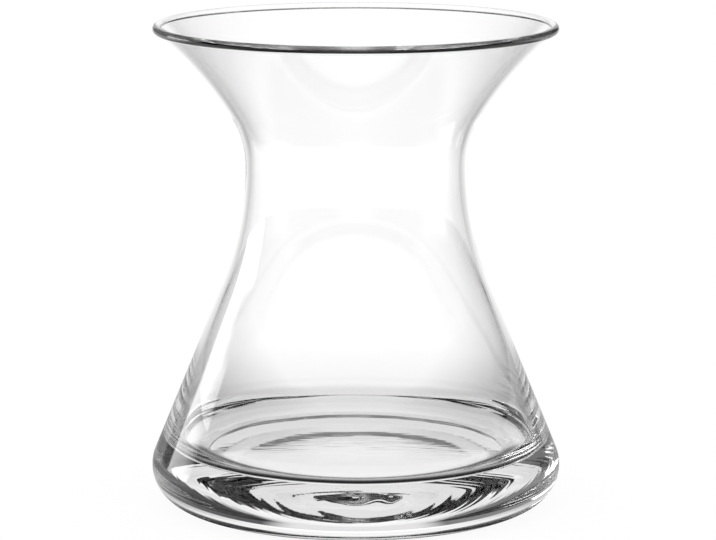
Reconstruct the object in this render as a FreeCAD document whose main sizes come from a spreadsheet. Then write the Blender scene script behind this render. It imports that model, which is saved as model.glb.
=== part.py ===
# Hyacinth forcing vase: one blown piece of clear glass, in millimetres.
# The frame stands on the resting plane: +Z is up, and the origin is the centre of the foot.
# The glass is one closed section turned about the vertical axis. The section's lines and arcs
# run smoothly into each other, and every size in it follows the sheet.
import FreeCAD, Part
import math
import os

import Sketcher
from FreeCAD import Vector

SIZES = {
    # the mouth, above the waist
    "mouth_height": 50.0,
    "rim_diameter": 142.0,
    "flare_radius": 125.0,
    "collar_radius": 33.0,
    # the body, from the waist down to the foot
    "waist_height": 120.0,
    "waist_diameter": 77.5,
    "base_diameter": 145.0,
    "heel_radius": 13.0,
    # from the waist down to where the upright waist and the cone would meet in a corner,
    # if the hip didn't round it
    "hip_tangent": 22.0,
    # the glass itself
    "lip_thickness": 3.0,
    # how far the round lip stands proud of the outer surface below it, and how the two blend
    "lip_stand": 0.5,
    "lip_fillet_radius": 0.3,
    "flare_wall": 2.2,
    "wall_thickness": 2.3,
    "floor_thickness": 18.0,
    "floor_corner_radius": 7.0,
    # the straight stretch of even wall below the hip, and the curve that thickens it from there
    "even_wall_length": 21.0,
    "swell_radius": 300.0,
    # the hollow under the foot, inside the ring that the vase stands on
    "foot_ring_width": 5.5,
    "recess_rise": 7.7,
}

# Angles are in degrees.
QUARTER_TURN, HALF_TURN, FULL_TURN = 90.0, 180.0, 360.0
CUBIC_MM_PER_ML = 1000.0

# What a sketch calls an edge's ends and centre, and its own two axes.
START_INDEX, END_INDEX, CENTRE_INDEX = 1, 2, 3
HORIZONTAL_AXIS_INDEX, VERTICAL_AXIS_INDEX = -1, -2


def make_sheet(document):
    """Write the driving sizes into the sheet, one named cell each."""
    sheet = document.addObject("Spreadsheet::Sheet", "sizes")
    for row, (name, value) in enumerate(SIZES.items(), start=1):
        sheet.set(f"A{row}", name)
        sheet.set(f"B{row}", str(value))
        sheet.setAlias(f"B{row}", name)
    document.recompute()


def along(x, y):
    """A step across the drawing plane, outwards by x and upwards by y."""
    return Vector(x, y, 0)


def on_circle(centre, radius, degrees):
    """The point of a circle that lies in this direction from its centre."""
    angle = math.radians(degrees)
    return centre + along(radius * math.cos(angle), radius * math.sin(angle))


def heading(start, end):
    """The direction from one point to another."""
    span = end - start
    return math.degrees(math.atan2(span.y, span.x)) % FULL_TURN


def crossing(first, first_radius, second, second_radius):
    """Where two circles cross, to the right of the way from the first centre to the second."""
    gap = first.distanceToPoint(second)
    forward = (first_radius**2 - second_radius**2 + gap**2) / (gap + gap)
    aside = math.sqrt(first_radius**2 - forward**2)
    course = heading(first, second)
    return on_circle(on_circle(first, forward, course), aside, course - QUARTER_TURN)


class Outline:
    """A closed sketch of named edges, drawn in one round, with dimensions that follow the sheet."""

    def __init__(self, body, name, plane_role):
        planes = {feature.Role: feature for feature in body.Origin.OriginFeatures}
        self.sketch = body.newObject("Sketcher::SketchObject", name)
        self.sketch.AttachmentSupport = [(planes[plane_role], "")]
        self.sketch.MapMode = "FlatFace"
        self.edges = {"horizontal axis": HORIZONTAL_AXIS_INDEX, "vertical axis": VERTICAL_AXIS_INDEX}
        self.round = []
        self.near = {}
        self.far = {}

    def add(self, name, edge, forwards=True):
        """Add an edge to the round, and note which of its ends comes first."""
        self.edges[name] = self.sketch.addGeometry(edge, False)
        self.round.append(name)
        ends = (START_INDEX, END_INDEX) if forwards else (END_INDEX, START_INDEX)
        self.near[name], self.far[name] = ends

    def line(self, name, start, end):
        self.add(name, Part.LineSegment(start, end))

    def arc(self, name, centre, radius, first_degrees, last_degrees):
        """Draw an arc from its first direction round to its last, whichever way that turns."""
        low, high = sorted([math.radians(first_degrees), math.radians(last_degrees)])
        circle = Part.Circle(centre, Vector(0, 0, 1), radius)
        self.add(name, Part.ArcOfCircle(circle, low, high), first_degrees < last_degrees)

    def corner(self, name, place):
        """Mark a point that no edge reaches."""
        self.edges[name] = self.sketch.addGeometry(Part.Point(place), True)

    def rule(self, kind, *values):
        """Add a geometric rule, with the edges given by name."""
        numbers = [self.edges.get(value, value) for value in values]
        return self.sketch.addConstraint(Sketcher.Constraint(kind, *numbers))

    def dimension(self, label, formula, kind, *values):
        """Add a dimension as it is drawn, then let it follow a formula of the sheet's sizes."""
        index = self.rule(kind, *values, self.drawn(kind, *values))
        self.sketch.renameConstraint(index, label)
        self.sketch.setExpression(f"Constraints.{label}", formula)

    def drawn(self, kind, edge, point=None, other_edge=None, other_point=None):
        """Measure what a dimension is in the drawing so far."""
        if kind == "Radius":
            return self.sketch.Geometry[self.edges[edge]].Radius
        if point is None:
            return self.sketch.Geometry[self.edges[edge]].length()
        span = self.sketch.getPoint(self.edges[edge], point)
        if other_edge is not None:
            span = self.sketch.getPoint(self.edges[other_edge], other_point) - span
        return {"Distance": span.Length, "DistanceX": span.x, "DistanceY": span.y}[kind]


def draw_outside(outline):
    """Draw the outer surface, from the lip down to the middle of the foot."""
    lip = SIZES["lip_thickness"] / 2
    rim_height = SIZES["waist_height"] + SIZES["mouth_height"]
    lip_centre = along(SIZES["rim_diameter"] / 2 - lip, rim_height - lip)
    waist = along(SIZES["waist_diameter"] / 2, SIZES["waist_height"])
    heel = SIZES["heel_radius"]
    heel_centre = along(SIZES["base_diameter"] / 2 - heel, heel)

    collar, flare = SIZES["collar_radius"], SIZES["flare_radius"]
    collar_centre = waist + along(collar, 0)
    lip_level = flare + lip - SIZES["lip_stand"]
    flare_centre = crossing(collar_centre, flare - collar, lip_centre, lip_level)
    flare_foot = heading(flare_centre, collar_centre)
    fillet = SIZES["lip_fillet_radius"]
    outer_centre = crossing(lip_centre, lip + fillet, flare_centre, flare - fillet)
    inner_level = flare + SIZES["flare_wall"] + fillet
    inner_centre = crossing(lip_centre, lip + fillet, flare_centre, inner_level)
    lip_end = heading(lip_centre, outer_centre)
    flare_top = heading(flare_centre, outer_centre)
    outline.arc("lip", lip_centre, lip, heading(lip_centre, inner_centre), lip_end - FULL_TURN)
    outline.arc("outer fillet", outer_centre, fillet, lip_end - HALF_TURN, flare_top)
    outline.arc("flare", flare_centre, flare, flare_top, flare_foot)
    outline.arc("collar", collar_centre, collar, flare_foot, HALF_TURN)

    hip_corner = waist - along(0, SIZES["hip_tangent"])
    from_heel = heel_centre.distanceToPoint(hip_corner)
    lean = heading(heel_centre, hip_corner) - math.degrees(math.acos(heel / from_heel))
    hip = SIZES["hip_tangent"] / math.tan(math.radians(lean / 2))
    hip_centre = waist + along(hip, 0)
    outline.corner("hip corner", hip_corner)
    outline.arc("hip", hip_centre, hip, HALF_TURN, HALF_TURN + lean)
    cone_foot = on_circle(heel_centre, heel, lean)
    outline.line("cone", on_circle(hip_centre, hip, HALF_TURN + lean), cone_foot)
    outline.arc("heel", heel_centre, heel, lean, -QUARTER_TURN)

    recess = heel_centre.x - SIZES["foot_ring_width"]
    rise = SIZES["recess_rise"]
    dome = (recess**2 + rise**2) / (rise + rise)
    dome_centre = along(0, rise - dome)
    outline.line("foot", heel_centre - along(0, heel), along(recess, 0))
    outline.arc("recess", dome_centre, dome, heading(dome_centre, along(recess, 0)), QUARTER_TURN)
    return lean, hip_centre, hip, flare_centre, inner_centre


def draw_inside(outline, lean, hip_centre, hip, flare_centre, fillet_centre):
    """Draw the inner surface, from the middle of the floor up to the lip."""
    wall = SIZES["wall_thickness"]
    inner_hip = hip + wall
    cone_top = on_circle(hip_centre, inner_hip, HALF_TURN + lean)
    swell_top = on_circle(cone_top, SIZES["even_wall_length"], lean - QUARTER_TURN)
    swell, corner = SIZES["swell_radius"], SIZES["floor_corner_radius"]
    swell_centre = on_circle(swell_top, -swell, lean)
    floor_centre = along(0, SIZES["floor_thickness"])
    corner_level = floor_centre.y + corner
    climb = corner_level - swell_centre.y
    corner_centre = along(swell_centre.x + math.sqrt((swell - corner)**2 - climb**2), corner_level)
    swell_foot = heading(swell_centre, corner_centre)

    inner_waist = along(SIZES["waist_diameter"] / 2 - wall, SIZES["waist_height"])
    reach = flare_centre - inner_waist
    flare = SIZES["flare_radius"] + SIZES["flare_wall"]
    collar = (flare**2 - reach.Length**2) / (flare - reach.x) / 2
    collar_centre = inner_waist + along(collar, 0)
    flare_foot = heading(flare_centre, collar_centre)
    flare_top = heading(flare_centre, fillet_centre)
    lip_centre = outline.sketch.getPoint(outline.edges["lip"], CENTRE_INDEX)
    fillet = SIZES["lip_fillet_radius"]
    fillet_end = heading(fillet_centre, lip_centre)

    outline.line("middle", along(0, SIZES["recess_rise"]), floor_centre)
    outline.line("floor", floor_centre, corner_centre - along(0, corner))
    outline.arc("floor corner", corner_centre, corner, -QUARTER_TURN, swell_foot)
    outline.arc("swell", swell_centre, swell, swell_foot, lean)
    outline.line("inner cone", swell_top, cone_top)
    outline.arc("inner hip", hip_centre, inner_hip, HALF_TURN + lean, HALF_TURN)
    outline.arc("inner collar", collar_centre, collar, HALF_TURN, flare_foot)
    outline.arc("inner flare", flare_centre, flare, flare_foot, flare_top)
    outline.arc("inner fillet", fillet_centre, fillet, flare_top + HALF_TURN, fillet_end)


def join_edges(outline):
    """Close the round. Edges run smoothly into each other, except at three corners."""
    met_at_a_corner = {"recess", "middle", "floor"}
    for place, name in enumerate(outline.round):
        before = outline.round[place - 1]
        kind = "Coincident" if name in met_at_a_corner else "Tangent"
        outline.rule(kind, before, outline.far[before], name, outline.near[name])


def place_edges(outline):
    """Set what lies on an axis, shares a centre, or runs level, upright or parallel."""
    waist = ("hip", outline.near["hip"])
    outline.rule("Horizontal", "floor")
    outline.rule("PointOnObject", "middle", START_INDEX, "vertical axis")
    outline.rule("PointOnObject", "middle", END_INDEX, "vertical axis")
    outline.rule("PointOnObject", "recess", CENTRE_INDEX, "vertical axis")
    outline.rule("PointOnObject", "foot", START_INDEX, "horizontal axis")
    outline.rule("PointOnObject", "foot", END_INDEX, "horizontal axis")
    outline.rule("Horizontal", *waist, "hip", CENTRE_INDEX)
    outline.rule("Vertical", *waist, "hip corner", START_INDEX)
    outline.rule("PointOnObject", "hip corner", START_INDEX, "cone")
    outline.rule("Parallel", "inner cone", "cone")
    outline.rule("Horizontal", "inner hip", outline.far["inner hip"], "hip", CENTRE_INDEX)
    outline.rule("Coincident", "inner hip", CENTRE_INDEX, "hip", CENTRE_INDEX)
    outline.rule("Coincident", "inner flare", CENTRE_INDEX, "flare", CENTRE_INDEX)


def size_edges(outline):
    """Tie every dimension of the outline to the sheet."""
    waist = ("hip", outline.near["hip"])
    inner_waist = ("inner hip", outline.far["inner hip"])
    half_lip = "sizes.lip_thickness / 2"
    lip_level = f"sizes.waist_height + sizes.mouth_height - {half_lip}"
    outline.dimension("lip_radius", half_lip, "Radius", "lip")
    outline.dimension("lip_reach", f"sizes.rim_diameter / 2 - {half_lip}", "DistanceX", "lip", CENTRE_INDEX)
    outline.dimension("lip_level", lip_level, "DistanceY", "lip", CENTRE_INDEX)
    lip_to_flare = f"sizes.flare_radius + {half_lip} - sizes.lip_stand"
    centres = ("flare", CENTRE_INDEX, "lip", CENTRE_INDEX)
    outline.dimension("lip_to_flare", lip_to_flare, "Distance", *centres)
    outline.dimension("outer_fillet", "sizes.lip_fillet_radius", "Radius", "outer fillet")
    outline.dimension("inner_fillet", "sizes.lip_fillet_radius", "Radius", "inner fillet")
    inner_flare = "sizes.flare_radius + sizes.flare_wall"
    outline.dimension("inner_flare", inner_flare, "Radius", "inner flare")
    outline.dimension("flare_radius", "sizes.flare_radius", "Radius", "flare")
    outline.dimension("collar_radius", "sizes.collar_radius", "Radius", "collar")
    outline.dimension("waist_radius", "sizes.waist_diameter / 2", "DistanceX", *waist)
    outline.dimension("waist_level", "sizes.waist_height", "DistanceY", *waist)
    outline.dimension("hip_tangent", "sizes.hip_tangent", "DistanceY", "hip corner", START_INDEX, *waist)
    heel_reach = "sizes.base_diameter / 2 - sizes.heel_radius"
    outline.dimension("heel_radius", "sizes.heel_radius", "Radius", "heel")
    outline.dimension("heel_reach", heel_reach, "DistanceX", "heel", CENTRE_INDEX)
    recess_reach = f"{heel_reach} - sizes.foot_ring_width"
    outline.dimension("recess_reach", recess_reach, "DistanceX", "foot", END_INDEX)
    outline.dimension("recess_level", "sizes.recess_rise", "DistanceY", "middle", START_INDEX)
    outline.dimension("floor_level", "sizes.floor_thickness", "DistanceY", "middle", END_INDEX)
    outline.dimension("corner_radius", "sizes.floor_corner_radius", "Radius", "floor corner")
    outline.dimension("swell_radius", "sizes.swell_radius", "Radius", "swell")
    outline.dimension("even_wall", "sizes.even_wall_length", "Distance", "inner cone")
    outline.dimension("wall", "sizes.wall_thickness", "DistanceX", *inner_waist, *waist)


def make_glass_vase(document):
    """Turn the section of the glass about the vertical axis."""
    body = document.addObject("PartDesign::Body", "glass_vase")
    body.Label = "glass_vase"
    outline = Outline(body, "glass_section", "XZ_Plane")
    draw_inside(outline, *draw_outside(outline))
    size_edges(outline)
    place_edges(outline)
    join_edges(outline)
    document.recompute()
    if not outline.sketch.FullyConstrained:
        raise ValueError("the section still has freedom to move")
    turning = body.newObject("PartDesign::Revolution", "turned_glass")
    turning.Profile = outline.sketch
    turning.ReferenceAxis = (outline.sketch, ["V_Axis"])
    turning.Angle = FULL_TURN
    body.Tip = turning
    outline.sketch.Visibility = False
    return body


def check(document, bodies):
    """Stop if any object failed, or if a sub-part isn't one sound solid."""
    for item in document.Objects:
        if {"Invalid", "Error"} & set(item.State):
            raise ValueError(f"{item.Name} failed: {item.State}")
    for body in bodies:
        shape = body.Shape
        if shape.isNull() or not shape.isValid() or len(shape.Solids) != 1:
            raise ValueError(f"{body.Label} isn't one sound solid")


def report(body):
    """Print a sub-part's outer size and the volume of its material."""
    box = body.Shape.optimalBoundingBox()
    print(f"{body.Label}: {box.XLength:.2f} x {box.YLength:.2f} x {box.ZLength:.2f} mm")
    print(f"lowest point {box.ZMin:.3f} mm, material {body.Shape.Volume / CUBIC_MM_PER_ML:.1f} ml")


def main():
    document = FreeCAD.newDocument("hyacinth_vase")
    make_sheet(document)
    bodies = [make_glass_vase(document)]
    document.recompute()
    check(document, bodies)
    os.makedirs("parts", exist_ok=True)
    for body in bodies:
        report(body)
        body.Shape.exportStep(f"parts/{body.Label}.step")


main()
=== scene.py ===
import math

import bpy
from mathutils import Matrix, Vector, noise


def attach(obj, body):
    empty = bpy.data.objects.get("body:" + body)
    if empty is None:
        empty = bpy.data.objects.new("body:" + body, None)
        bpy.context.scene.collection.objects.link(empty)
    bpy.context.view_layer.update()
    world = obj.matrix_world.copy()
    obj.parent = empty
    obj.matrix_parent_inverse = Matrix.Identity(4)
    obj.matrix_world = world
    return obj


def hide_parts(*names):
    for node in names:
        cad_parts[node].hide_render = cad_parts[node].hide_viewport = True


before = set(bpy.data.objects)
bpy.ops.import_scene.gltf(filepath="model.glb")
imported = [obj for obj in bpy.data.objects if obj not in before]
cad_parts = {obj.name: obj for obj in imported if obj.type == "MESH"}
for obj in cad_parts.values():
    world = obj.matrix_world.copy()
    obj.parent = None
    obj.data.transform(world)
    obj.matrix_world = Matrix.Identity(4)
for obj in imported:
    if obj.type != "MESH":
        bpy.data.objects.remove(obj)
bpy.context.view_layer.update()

# lengths are in metres and angles in degrees
FULL_TURN, HALF_TURN, QUARTER_TURN = 360, 180, 90
MM = 0.001
NEAR_ZERO = 0.000001

# the photograph's frame and the camera that sees the vase as it does
IMAGE_WIDTH = 716
FOCAL_LENGTH_IN_PIXELS = 3424
SENSOR_WIDTH = 36
CAMERA_DISTANCE = 1.190
CAMERA_HEIGHT = 0.3025
CAMERA_PITCH = 10.48
SIDE_SHIFT_IN_PIXELS = 2.2
NEAR_CLIP = 0.01
FAR_CLIP = 60.0

# the section of the vase, with the same names as in the part's source
SIZES = {
    "mouth_height": 0.050,
    "rim_diameter": 0.142,
    "flare_radius": 0.125,
    "collar_radius": 0.033,
    "waist_height": 0.120,
    "waist_diameter": 0.0775,
    "base_diameter": 0.145,
    "heel_radius": 0.013,
    "hip_tangent": 0.022,
    "lip_thickness": 0.0030,
    "lip_stand": 0.0005,
    "lip_fillet_radius": 0.0003,
    "flare_wall": 0.0022,
    "wall_thickness": 0.0023,
    "floor_thickness": 0.018,
    "floor_corner_radius": 0.007,
    "even_wall_length": 0.021,
    "swell_radius": 0.300,
    "foot_ring_width": 0.0055,
    "recess_rise": 0.0077,
}
ARC_STEP = 0.0007
ARC_STEP_DEGREES = 4
LINE_STEP = 0.0010
SEGMENTS = 360

# how the hand-made glass strays from the true section: a lean, waves with their lengths, and ripples
FLOOR_LEAN = (-0.006, 0.004)
LEAN_FADES_OVER = 0.020
FLOOR_WAVE, FLOOR_WAVE_LENGTH = 0.00006, 0.011
WALL_WAVE, WALL_WAVE_LENGTH, WALL_WAVE_STRETCH = 0.00004, 0.012, 2.5
RECESS_WAVE, RECESS_WAVE_LENGTH = 0.00005, 0.009
RECESS_RIPPLE, RECESS_RIPPLE_LENGTH, RECESS_RIPPLE_STRETCH = 0.00005, 0.0012, 12
RECESS_EDGE_WIDTH = 0.005
RECESS_NOISE_LAYER = 1

# the glass, with a faint grain
GLASS_COLOUR = (1.0, 1.0, 1.0, 1.0)
GLASS_IOR = 1.5
GRAIN_SCALE, GRAIN_HEIGHT = 90.0, 0.000002

# the floor: white to the camera, and to what is seen through the glass a painted pattern of light and
# shade, with a painted shadow ring round the foot, as levels by the distance from the middle, or by the
# angle from the nearest side
FLOOR_HALF_SIZE = 12.0
FLOOR_DROP = 0.0003
FLOOR_COLOUR = (0.97, 0.97, 0.97, 1.0)
FLOOR_GLOW, FLOOR_GLOW_SHARE = 1.04, 0.9
FLOOR_RAMP_RADIUS = 0.25
PAINTED_FLOOR_LIGHT_TO_PANEL = [
    (0.0, 1.0), (0.044, 1.0), (0.052, 0.9), (0.072, 0.85), (0.10, 0.84), (0.125, 0.97), (0.25, 1.12),
]
PAINTED_FLOOR_LIGHT_TO_CORNER = [
    (0.0, 1.0), (0.044, 1.0), (0.052, 0.85), (0.072, 0.7), (0.10, 0.5), (0.125, 0.42), (0.25, 0.42),
]
PAINTED_FLOOR_LIGHT_TURN = [(0, 0.0), (10, 0.0), (34, 1.0), (45, 1.0)]

# the painted shadow on the floor round the front of the vase's foot and in front of it, and the way round
# over which it fades
PAINTED_CONTACT_SHADOW_RAMP = [
    (0.0, 1.0), (0.050, 1.0), (0.056, 0.02), (0.065, 0.02), (0.073, 1.0), (0.085, 0.5), (0.16, 0.45),
    (0.24, 1.0),
]
PAINTED_CONTACT_SHADOW_TURN = (-0.1, 0.3)

# where the painted light on the far floor between the sides turns paler, and to what level
PAINTED_FLOOR_CLEARS, PAINTED_FLOOR_CLEAR_LEVEL = (0.28, 0.60), 0.62

# long softboxes beside the vase, as centre azimuth, half width, soft edge, foot, top and level,
# and how far out on the floor their painted light begins and is full
SOFTBOXES = [(-60, 10, 3, -6, 14, 5.0), (86, 8, 3, -6, 6, 1.4)]
SOFTBOX_PAINTED_FLOOR_LIGHT = (0.24, 0.36)

# the rest of the dark studio's windows, as centre azimuth, half width, soft edge, foot, top and level
ROOM_BASE = 0.0
ROOM_EDGE = 5
ROOM_WINDOWS = [
    (0, 10, 10, -6, 46, 1.0),
    (0, 14, 20, 36, 84, 0.06),
    (90, 10, 8, -6, 7, 0.4),
    (180, 8, 14, -6, 7, 0.5),
    (-90, 10, 8, -6, 7, 0.4),
    (-42, 20, 14, -6, 18, 0.25),
    (36, 16, 12, -6, 16, 0.08),
]

# light paths stop here, so the deepest light in the base stays dark
BOUNCES = 44


def on_circle(centre, radius, degrees):
    angle = math.radians(degrees)
    return (centre[0] + radius * math.cos(angle), centre[1] + radius * math.sin(angle))


def heading(start, end):
    return math.degrees(math.atan2(end[1] - start[1], end[0] - start[0])) % FULL_TURN


def crossing(first, first_radius, second, second_radius):
    """Where two circles cross, to the right of the way from the first centre to the second."""
    gap = math.dist(first, second)
    forward = (first_radius**2 - second_radius**2 + gap**2) / (gap + gap)
    aside = math.sqrt(first_radius**2 - forward**2)
    course = heading(first, second)
    return on_circle(on_circle(first, forward, course), aside, course - QUARTER_TURN)


def arc(centre, radius, first, last):
    sweep = abs(last - first)
    count = math.ceil(max(math.radians(sweep) * radius / ARC_STEP, sweep / ARC_STEP_DEGREES))
    return [on_circle(centre, radius, first + (last - first) * i / count) for i in range(count + 1)]


def line(start, end):
    count = math.ceil(math.dist(start, end) / LINE_STEP)
    return [tuple(Vector(start).lerp(end, i / count)) for i in range(count + 1)]


def vase_section(sizes):
    """The outer run of the section, from the lip to the foot, and the inner, from the floor to the lip."""
    lip = sizes["lip_thickness"] / 2
    lip_centre = (sizes["rim_diameter"] / 2 - lip, sizes["waist_height"] + sizes["mouth_height"] - lip)
    waist = (sizes["waist_diameter"] / 2, sizes["waist_height"])
    heel = sizes["heel_radius"]
    heel_centre = (sizes["base_diameter"] / 2 - heel, heel)
    collar, flare = sizes["collar_radius"], sizes["flare_radius"]
    collar_centre = (waist[0] + collar, waist[1])
    flare_centre = crossing(collar_centre, flare - collar, lip_centre, flare + lip - sizes["lip_stand"])
    foot = heading(flare_centre, collar_centre)
    fillet = sizes["lip_fillet_radius"]
    inner_flare = flare + sizes["flare_wall"]
    outer_fillet = crossing(lip_centre, lip + fillet, flare_centre, flare - fillet)
    inner_fillet = crossing(lip_centre, lip + fillet, flare_centre, inner_flare + fillet)
    lip_end = heading(lip_centre, outer_fillet)
    corner = (waist[0], waist[1] - sizes["hip_tangent"])
    lean = heading(heel_centre, corner) - math.degrees(math.acos(heel / math.dist(heel_centre, corner)))
    hip = sizes["hip_tangent"] / math.tan(math.radians(lean / 2))
    hip_centre = (waist[0] + hip, waist[1])
    ring = heel_centre[0] - sizes["foot_ring_width"]
    rise = sizes["recess_rise"]
    dome = (ring**2 + rise**2) / (rise + rise)
    dome_centre = (0, rise - dome)
    outer = [
        arc(lip_centre, lip, heading(lip_centre, inner_fillet), lip_end - FULL_TURN),
        arc(outer_fillet, fillet, lip_end - HALF_TURN, heading(flare_centre, outer_fillet)),
        arc(flare_centre, flare, heading(flare_centre, outer_fillet), foot),
        arc(collar_centre, collar, foot, HALF_TURN),
        arc(hip_centre, hip, HALF_TURN, HALF_TURN + lean),
        line(on_circle(hip_centre, hip, HALF_TURN + lean), on_circle(heel_centre, heel, lean)),
        arc(heel_centre, heel, lean, -QUARTER_TURN),
        line((heel_centre[0], 0), (ring, 0)),
        arc(dome_centre, dome, heading(dome_centre, (ring, 0)), QUARTER_TURN),
    ]

    wall = sizes["wall_thickness"]
    cone_top = on_circle(hip_centre, hip + wall, HALF_TURN + lean)
    swell_top = on_circle(cone_top, sizes["even_wall_length"], lean - QUARTER_TURN)
    swell, corner_radius = sizes["swell_radius"], sizes["floor_corner_radius"]
    swell_centre = on_circle(swell_top, -swell, lean)
    floor = sizes["floor_thickness"]
    level = floor + corner_radius
    reach = math.sqrt((swell - corner_radius) ** 2 - (level - swell_centre[1]) ** 2)
    corner_centre = (swell_centre[0] + reach, level)
    swell_foot = heading(swell_centre, corner_centre)
    inner_waist = (waist[0] - wall, waist[1])
    across, up = flare_centre[0] - inner_waist[0], flare_centre[1] - inner_waist[1]
    inner_collar = (inner_flare**2 - across**2 - up**2) / (inner_flare - across) / 2
    inner_collar_centre = (inner_waist[0] + inner_collar, inner_waist[1])
    inner_foot = heading(flare_centre, inner_collar_centre)
    fillet_start = heading(inner_fillet, flare_centre)
    inner = [
        line((0, floor), (corner_centre[0], floor)),
        arc(corner_centre, corner_radius, -QUARTER_TURN, swell_foot),
        arc(swell_centre, swell, swell_foot, lean),
        line(swell_top, cone_top),
        arc(hip_centre, hip + wall, HALF_TURN + lean, HALF_TURN),
        arc(inner_collar_centre, inner_collar, HALF_TURN, inner_foot),
        arc(flare_centre, inner_flare, inner_foot, heading(flare_centre, inner_fillet)),
        arc(inner_fillet, fillet, fillet_start, heading(inner_fillet, lip_centre)),
    ]
    return one_run(outer) + outer[-1][-1:], one_run(inner), ring


def one_run(runs):
    """Join runs of points, each of which ends where the next begins, without the last point."""
    return [point for run in runs for point in run[:-1]]


def eased(value, low, high):
    """Rise smoothly from 0 to 1 between two levels."""
    way_share = min(max((value - low) / (high - low), 0), 1)
    return way_share**2 * (3 - way_share - way_share)


def worked_inside(x, y, z):
    """Lean the floor and wave the wall, as the breath and the tools left them."""
    floor, waist = SIZES["floor_thickness"], SIZES["waist_height"]
    low = 1 - eased(z, floor, floor + LEAN_FADES_OVER)
    tilt = x * FLOOR_LEAN[0] + y * FLOOR_LEAN[1]
    wave = FLOOR_WAVE * noise.noise(Vector((x, y, 0)) / FLOOR_WAVE_LENGTH)
    along = Vector((x, y, z / WALL_WAVE_STRETCH)) / WALL_WAVE_LENGTH
    upright = eased(z, floor, floor + LEAN_FADES_OVER) * (1 - eased(z, waist, waist + LEAN_FADES_OVER))
    swell = WALL_WAVE * noise.noise(along) * upright / max(math.hypot(x, y), SIZES["wall_thickness"])
    return (x + x * swell, y + y * swell, z + (tilt + wave) * low)


def worked_recess(x, y, z, ring):
    """Ripple the hollow under the foot, and leave its edge and the ring true."""
    radius = math.hypot(x, y)
    inside = 1 - eased(radius, ring - RECESS_EDGE_WIDTH, ring)
    wave = RECESS_WAVE * noise.noise(Vector((x, y, RECESS_NOISE_LAYER)) / RECESS_WAVE_LENGTH)
    stroke = Vector((x / RECESS_RIPPLE_STRETCH, y, 0)) / RECESS_RIPPLE_LENGTH
    ripple = RECESS_RIPPLE * noise.noise(stroke)
    return (x, y, z + (wave + ripple) * inside)


def turned_mesh(name, outer, inner, ring):
    """Turn the section about the vertical axis into one closed skin of quads."""
    verts, rings, faces = [], [], []
    for number, (radius, height) in enumerate(outer + inner):
        places = range(SEGMENTS if radius > NEAR_ZERO else 1)
        rings.append(range(len(verts), len(verts) + len(places)))
        for k in places:
            angle = math.tau * (k + 0.5) / SEGMENTS
            place = (radius * math.cos(angle), radius * math.sin(angle), height)
            if number >= len(outer):
                place = worked_inside(*place)
            elif 0 < height < SIZES["recess_rise"] + MM and radius < ring:
                place = worked_recess(*place, ring)
            verts.append(place)
    for first, second in zip(rings, rings[1:] + rings[:1]):
        for k in range(SEGMENTS):
            n = (k + 1) % SEGMENTS
            if len(first) == 1 and len(second) > 1:
                faces.append((first[0], second[k], second[n]))
            elif len(second) == 1 and len(first) > 1:
                faces.append((first[n], first[k], second[0]))
            elif len(first) > 1:
                faces.append((first[n], first[k], second[k], second[n]))
    mesh = bpy.data.meshes.new(name)
    mesh.from_pydata(verts, [], faces)
    mesh.validate()
    mesh.shade_smooth()
    return mesh


def link(name, data):
    piece = bpy.data.objects.new(name, data)
    bpy.context.scene.collection.objects.link(piece)
    return piece


def glass_material():
    """Clear glass with the faintest grain of a blown surface."""
    material = bpy.data.materials.new("clear_glass_finish")
    material.use_nodes = True
    tree = material.node_tree
    shader = tree.nodes["Principled BSDF"]
    shader.inputs["Base Color"].default_value = GLASS_COLOUR
    shader.inputs["Roughness"].default_value = 0
    shader.inputs["IOR"].default_value = GLASS_IOR
    shader.inputs["Transmission Weight"].default_value = 1
    place = tree.nodes.new("ShaderNodeTexCoord")
    grain = tree.nodes.new("ShaderNodeTexNoise")
    grain.inputs["Scale"].default_value = GRAIN_SCALE
    feed(tree, grain.inputs["Vector"], place.outputs["Object"])
    bump = tree.nodes.new("ShaderNodeBump")
    bump.inputs["Distance"].default_value = GRAIN_HEIGHT
    feed(tree, bump.inputs["Height"], grain.outputs["Fac"])
    feed(tree, shader.inputs["Normal"], bump.outputs["Normal"])
    return material


def make_camera():
    data = bpy.data.cameras.new("photo_camera")
    data.sensor_width = SENSOR_WIDTH
    data.lens = SENSOR_WIDTH * FOCAL_LENGTH_IN_PIXELS / IMAGE_WIDTH
    data.shift_x = SIDE_SHIFT_IN_PIXELS / IMAGE_WIDTH
    data.clip_start = NEAR_CLIP
    data.clip_end = FAR_CLIP
    data.dof.use_dof = False
    camera = link("photo_camera", data)
    camera.location = (0, -CAMERA_DISTANCE, CAMERA_HEIGHT)
    camera.rotation_euler = (math.radians(QUARTER_TURN - CAMERA_PITCH), 0, 0)
    bpy.context.scene.camera = camera


def make_vase():
    vase = link("vase_glass", turned_mesh("vase_glass", *vase_section(SIZES)))
    vase.data.materials.append(glass_material())
    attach(vase, "root")
    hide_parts("glass_vase")


def feed(tree, socket, value):
    if isinstance(value, bpy.types.NodeSocket):
        tree.links.new(value, socket)
    else:
        socket.default_value = value


def maths(tree, operation, *values):
    node = tree.nodes.new("ShaderNodeMath")
    node.operation = operation
    for socket, value in zip(node.inputs, values):
        feed(tree, socket, value)
    return node.outputs[0]


def rising(tree, value, low, high):
    node = tree.nodes.new("ShaderNodeMapRange")
    node.interpolation_type = "SMOOTHSTEP"
    for name, given in (("Value", value), ("From Min", low), ("From Max", high)):
        feed(tree, node.inputs[name], given)
    return node.outputs["Result"]


def blended(tree, second_share, first, second):
    """Mix two numbers; sockets 0, 2 and 3 are the node's factor and its two numbers."""
    node = tree.nodes.new("ShaderNodeMix")
    for place, value in zip((0, 2, 3), (second_share, first, second)):
        feed(tree, node.inputs[place], value)
    return node.outputs[0]


def grey(level):
    return (level, level, level, 1)


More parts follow.
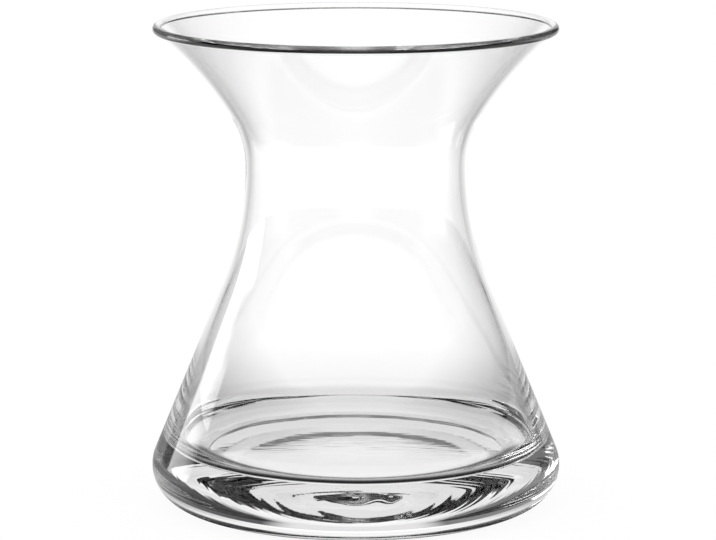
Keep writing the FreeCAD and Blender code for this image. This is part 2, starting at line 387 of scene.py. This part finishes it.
def ramped(tree, value, stops):
    node = tree.nodes.new("ShaderNodeValToRGB")
    feed(tree, node.inputs[0], value)
    elements = node.color_ramp.elements
    elements[0].position, elements[1].position = stops[0][0], stops[-1][0]
    elements[0].color, elements[1].color = grey(stops[0][1]), grey(stops[-1][1])
    for position, level in stops[1:-1]:
        elements.new(position).color = grey(level)
    return node.outputs["Color"]


def by_fold(stops):
    """Stops by angle from the nearest side, as stops by the sine of twice the angle."""
    return [(abs(sine(angle + angle)), level) for angle, level in stops]


def by_radius(stops):
    """Stops by distance from the middle, as shares of the ramp's reach."""
    return [(radius / FLOOR_RAMP_RADIUS, level) for radius, level in stops]


def sine(angle):
    return math.sin(math.radians(angle))


def cosine(angle):
    return math.cos(math.radians(angle))


def place_parts(tree, output):
    """The shares of a place's bearing that point east and north, its radius and its height."""
    place = tree.nodes.new("ShaderNodeTexCoord")
    parts = tree.nodes.new("ShaderNodeSeparateXYZ")
    tree.links.new(place.outputs[output], parts.inputs[0])
    x, y = parts.outputs["X"], parts.outputs["Y"]
    squares = maths(tree, "ADD", maths(tree, "MULTIPLY", x, x), maths(tree, "MULTIPLY", y, y))
    radius = maths(tree, "MAXIMUM", maths(tree, "SQRT", squares), NEAR_ZERO)
    return maths(tree, "DIVIDE", x, radius), maths(tree, "DIVIDE", y, radius), radius, parts.outputs["Z"]


def sector(tree, east, north, centre, half, soft):
    """1 within a sector of this half width about its centre azimuth, falling to 0 over its soft edge."""
    eastward = maths(tree, "MULTIPLY", east, sine(centre))
    northward = maths(tree, "MULTIPLY", north, cosine(centre))
    return rising(tree, maths(tree, "ADD", eastward, northward), cosine(half + soft), cosine(half))


def painted_floor_light(tree):
    """The painted light and shade that glass sees on the floor: the same towards each side and greyer
    between, with a painted shadow round the foot and painted softbox light far out.
    """
    east, north, radius, _ = place_parts(tree, "Object")
    along = maths(tree, "DIVIDE", radius, FLOOR_RAMP_RADIUS)
    fold = maths(tree, "ABSOLUTE", maths(tree, "MULTIPLY", maths(tree, "MULTIPLY", east, north), 2))
    # painted light and shade on the floor, with a painted shadow ring round the foot, towards the sides and
    # towards the corners
    painted_light_to_panel = ramped(tree, along, by_radius(PAINTED_FLOOR_LIGHT_TO_PANEL))
    painted_light_to_corner = ramped(tree, along, by_radius(PAINTED_FLOOR_LIGHT_TO_CORNER))
    # painted light: the far floor between the sides turns paler
    painted_light_to_corner = blended(tree, rising(tree, radius, *PAINTED_FLOOR_CLEARS), painted_light_to_corner, PAINTED_FLOOR_CLEAR_LEVEL)
    level = blended(tree, ramped(tree, fold, by_fold(PAINTED_FLOOR_LIGHT_TURN)), painted_light_to_panel, painted_light_to_corner)
    # painted shadow on the floor round the front of the foot and in front of the vase
    painted_contact_shadow = ramped(tree, along, by_radius(PAINTED_CONTACT_SHADOW_RAMP))
    painted_contact_shadow = blended(tree, rising(tree, north, *PAINTED_CONTACT_SHADOW_TURN), painted_contact_shadow, 1)
    level = maths(tree, "MULTIPLY", level, painted_contact_shadow)
    # painted softbox light on the far floor
    outer = rising(tree, radius, *SOFTBOX_PAINTED_FLOOR_LIGHT)
    for *bearing, _, _, strength in SOFTBOXES:
        painted_softbox_light = maths(tree, "MULTIPLY", sector(tree, east, north, *bearing), outer)
        level = maths(tree, "MAXIMUM", level, maths(tree, "MULTIPLY", painted_softbox_light, min(strength, FLOOR_GLOW)))
    return level


def make_floor():
    half = FLOOR_HALF_SIZE
    mesh = bpy.data.meshes.new("floor")
    corners = [(x, y, -FLOOR_DROP) for x, y in ((-half, -half), (half, -half), (half, half), (-half, half))]
    mesh.from_pydata(corners, [], [range(4)])
    material = bpy.data.materials.new("floor")
    material.use_nodes = True
    tree = material.node_tree
    tree.nodes.clear()
    path = tree.nodes.new("ShaderNodeLightPath")
    camera_ray = path.outputs["Is Camera Ray"]
    glow = tree.nodes.new("ShaderNodeEmission")
    # glass sees the floor's painted light and shade; the camera sees an even glow
    feed(tree, glow.inputs["Strength"], blended(tree, camera_ray, painted_floor_light(tree), FLOOR_GLOW))
    paint = tree.nodes.new("ShaderNodeBsdfDiffuse")
    paint.inputs["Color"].default_value = FLOOR_COLOUR
    mix = tree.nodes.new("ShaderNodeMixShader")
    clear = maths(tree, "MAXIMUM", path.outputs["Is Glossy Ray"], path.outputs["Is Transmission Ray"])
    glow_share = maths(tree, "MULTIPLY", camera_ray, FLOOR_GLOW_SHARE)
    feed(tree, mix.inputs[0], maths(tree, "ADD", clear, glow_share))
    feed(tree, mix.inputs[1], paint.outputs[0])
    feed(tree, mix.inputs[2], glow.outputs[0])
    output = tree.nodes.new("ShaderNodeOutputMaterial")
    feed(tree, output.inputs["Surface"], mix.outputs[0])
    mesh.materials.append(material)
    link("floor", mesh)


def window_light(tree, east, north, height, window):
    centre, half, soft, foot, top, level = window
    across = sector(tree, east, north, centre, half, soft)
    above_foot = rising(tree, height, sine(foot), sine(foot + ROOM_EDGE))
    above_top = rising(tree, height, sine(top - ROOM_EDGE), sine(top))
    up = maths(tree, "SUBTRACT", above_foot, above_top)
    return maths(tree, "MULTIPLY", maths(tree, "MULTIPLY", across, up), level)


def make_world():
    """An even white studio, which the glass sees as soft windows in the dark."""
    world = bpy.data.worlds.new("studio")
    bpy.context.scene.world = world
    world.use_nodes = True
    tree = world.node_tree
    tree.nodes.clear()
    east, north, _, height = place_parts(tree, "Generated")
    level = ROOM_BASE
    for window in ROOM_WINDOWS + SOFTBOXES:
        level = maths(tree, "MAXIMUM", level, window_light(tree, east, north, height, window))
    path = tree.nodes.new("ShaderNodeLightPath")
    even = maths(tree, "MAXIMUM", path.outputs["Is Camera Ray"], path.outputs["Is Diffuse Ray"])
    background = tree.nodes.new("ShaderNodeBackground")
    feed(tree, background.inputs["Strength"], blended(tree, even, level, 1))
    output = tree.nodes.new("ShaderNodeOutputWorld")
    feed(tree, output.inputs["Surface"], background.outputs[0])


def set_view():
    scene = bpy.context.scene
    scene.view_settings.view_transform = "Standard"
    scene.cycles.max_bounces = BOUNCES
    scene.cycles.transmission_bounces = BOUNCES
    scene.cycles.glossy_bounces = BOUNCES


make_camera()
make_vase()
make_floor()
make_world()
set_view()
